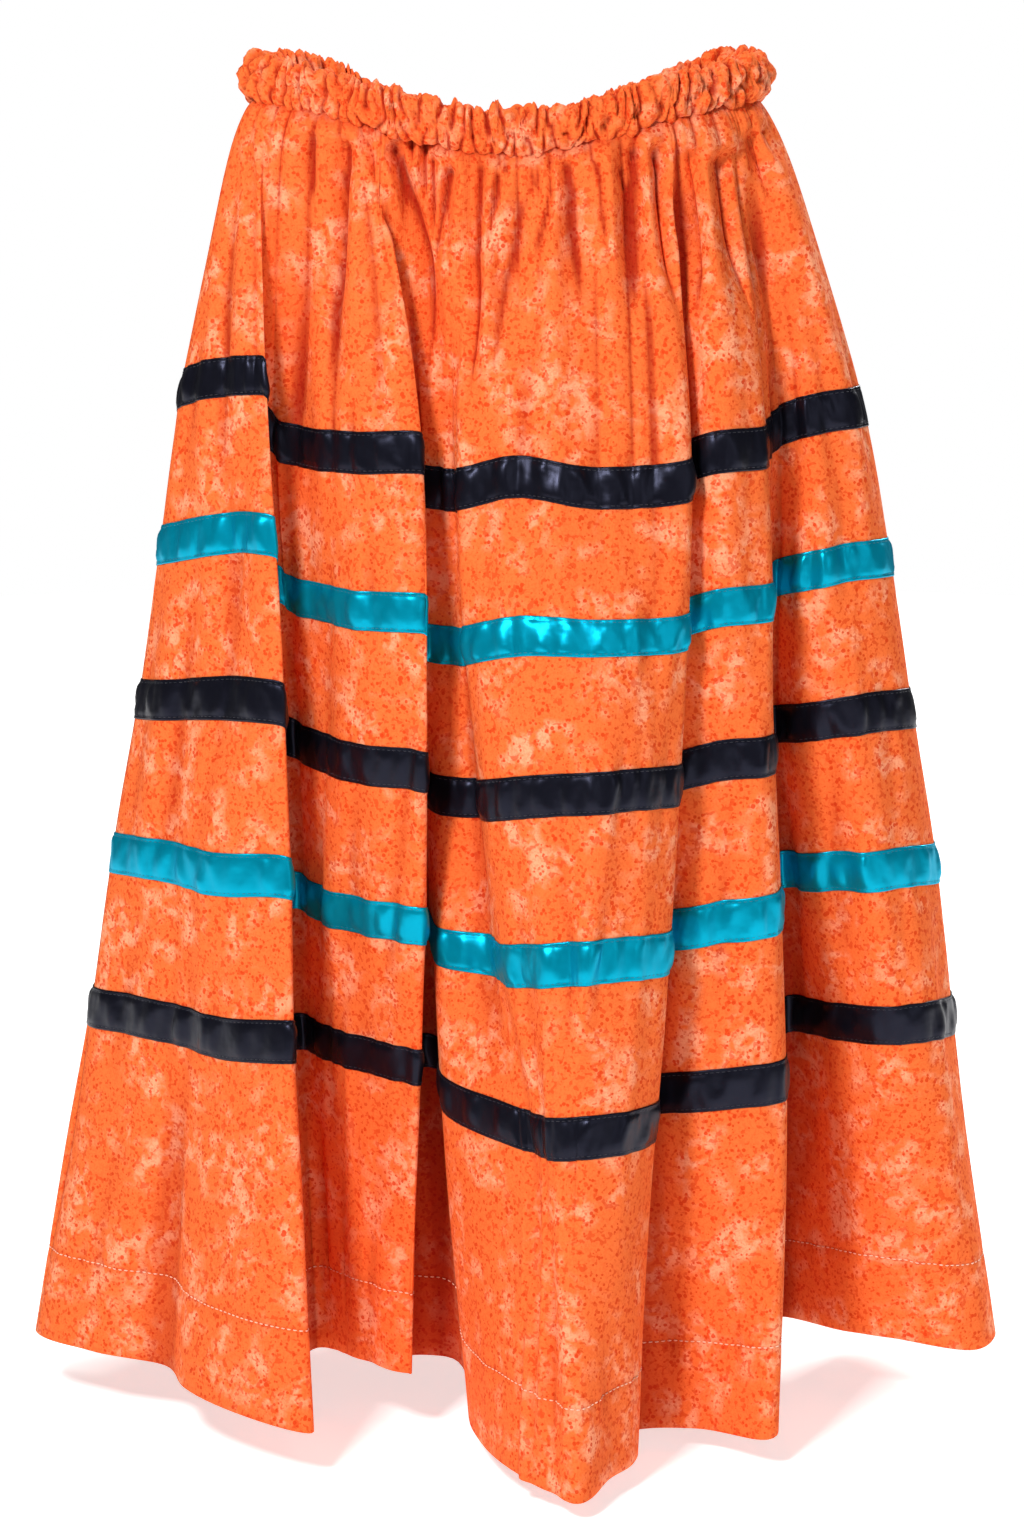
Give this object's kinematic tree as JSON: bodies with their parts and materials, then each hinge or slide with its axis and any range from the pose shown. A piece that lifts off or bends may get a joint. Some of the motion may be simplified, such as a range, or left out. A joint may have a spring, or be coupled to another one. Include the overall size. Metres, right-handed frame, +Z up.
{
  "type": "ribbon skirt",
  "caption": "Full-length gathered cotton skirt, hollow as worn, with an elastic casing at the waist, deep soft folds, satin ribbons sewn round it and a deep turned-up hem.",
  "frame": {"origin": "middle of the waist, level with the top of the casing near the sides, where the wearer's waist holds the skirt up", "axes": "+Z up along the skirt's length, -Y towards the front, +X to the right as seen from the front"},
  "size_m": [0.61, 0.422, 0.8375],
  "materials": {
    "orange_cotton": "plain-weave cotton with a mottled orange print of small darker speckles and paler clouds",
    "black_satin": "black satin ribbon with a cool sheen",
    "teal_satin": "teal satin ribbon with a bright sheen"
  },
  "bodies": {
    "root": {"panel_front": "orange_cotton", "panel_back": "orange_cotton", "waist_casing": "orange_cotton", "ribbon_1": "black_satin", "ribbon_2": "teal_satin", "ribbon_3": "black_satin", "ribbon_4": "teal_satin", "ribbon_5": "black_satin"}
  },
  "joints": []
}
